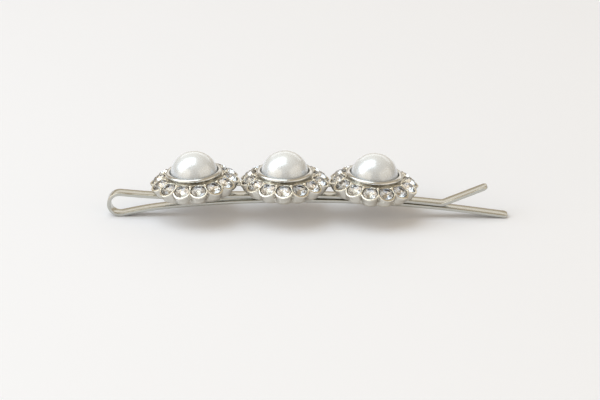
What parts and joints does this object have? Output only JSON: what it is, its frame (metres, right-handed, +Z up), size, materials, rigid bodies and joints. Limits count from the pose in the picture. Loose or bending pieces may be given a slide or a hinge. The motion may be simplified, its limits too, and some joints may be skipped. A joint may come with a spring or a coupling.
{
  "type": "decorative hair pin",
  "caption": "Sprung flat-strip hair pin folded at one end, with a row of pearl-centred flower settings along the upper leg and an upturned tip.",
  "frame": {"origin": "middle of the object's length and width, on the surface it stands on", "axes": "+X from the pin's bend to its tips, +Z up through the pearls, Y across the strip"},
  "size_m": [0.0671, 0.0152, 0.0114],
  "materials": {
    "spring_steel": "bright plated strip",
    "plated_casting": "bright plated casting",
    "solder": "dull solder",
    "pearl": "pearlescent",
    "clear_stone": "faceted, foil backed"
  },
  "bodies": {
    "lower_leg": {"pin_lower_leg": "spring_steel"},
    "flower_leg": {"pin_upper_leg": "spring_steel", "flower_1_setting": "plated_casting", "flower_1_collar": "plated_casting", "flower_1_pearl": "pearl", "flower_1_solder": "solder", "flower_1_stone_01": "clear_stone", "flower_1_stone_02": "clear_stone", "flower_1_stone_03": "clear_stone", "flower_1_stone_04": "clear_stone", "flower_1_stone_05": "clear_stone", "flower_1_stone_06": "clear_stone", "flower_1_stone_07": "clear_stone", "flower_1_stone_08": "clear_stone", "flower_1_stone_09": "clear_stone", "flower_1_stone_10": "clear_stone", "flower_1_stone_11": "clear_stone", "flower_1_stone_12": "clear_stone", "flower_1_stone_13": "clear_stone", "flower_1_stone_14": "clear_stone", "flower_2_setting": "plated_casting", "flower_2_collar": "plated_casting", "flower_2_pearl": "pearl", "flower_2_solder": "solder", "flower_2_stone_01": "clear_stone", "flower_2_stone_02": "clear_stone", "flower_2_stone_03": "clear_stone", "flower_2_stone_04": "clear_stone", "flower_2_stone_05": "clear_stone", "flower_2_stone_06": "clear_stone", "flower_2_stone_07": "clear_stone", "flower_2_stone_08": "clear_stone", "flower_2_stone_09": "clear_stone", "flower_2_stone_10": "clear_stone", "flower_2_stone_11": "clear_stone", "flower_2_stone_12": "clear_stone", "flower_2_stone_13": "clear_stone", "flower_2_stone_14": "clear_stone", "flower_3_setting": "plated_casting", "flower_3_collar": "plated_casting", "flower_3_pearl": "pearl", "flower_3_solder": "solder", "flower_3_stone_01": "clear_stone", "flower_3_stone_02": "clear_stone", "flower_3_stone_03": "clear_stone", "flower_3_stone_04": "clear_stone", "flower_3_stone_05": "clear_stone", "flower_3_stone_06": "clear_stone", "flower_3_stone_07": "clear_stone", "flower_3_stone_08": "clear_stone", "flower_3_stone_09": "clear_stone", "flower_3_stone_10": "clear_stone", "flower_3_stone_11": "clear_stone", "flower_3_stone_12": "clear_stone", "flower_3_stone_13": "clear_stone", "flower_3_stone_14": "clear_stone", "link_1_2": "plated_casting", "link_2_3": "plated_casting"}
  },
  "joints": [
    {"name": "leg_spread", "type": "hinge", "parent": "lower_leg", "child": "flower_leg", "pos_m": [-0.03327, 0, 0.00213], "axis": [0, -1, 0], "range_deg": [0, 10], "stiffness_Nm_per_rad": 0.13, "springref_deg": -4.58}
  ]
}
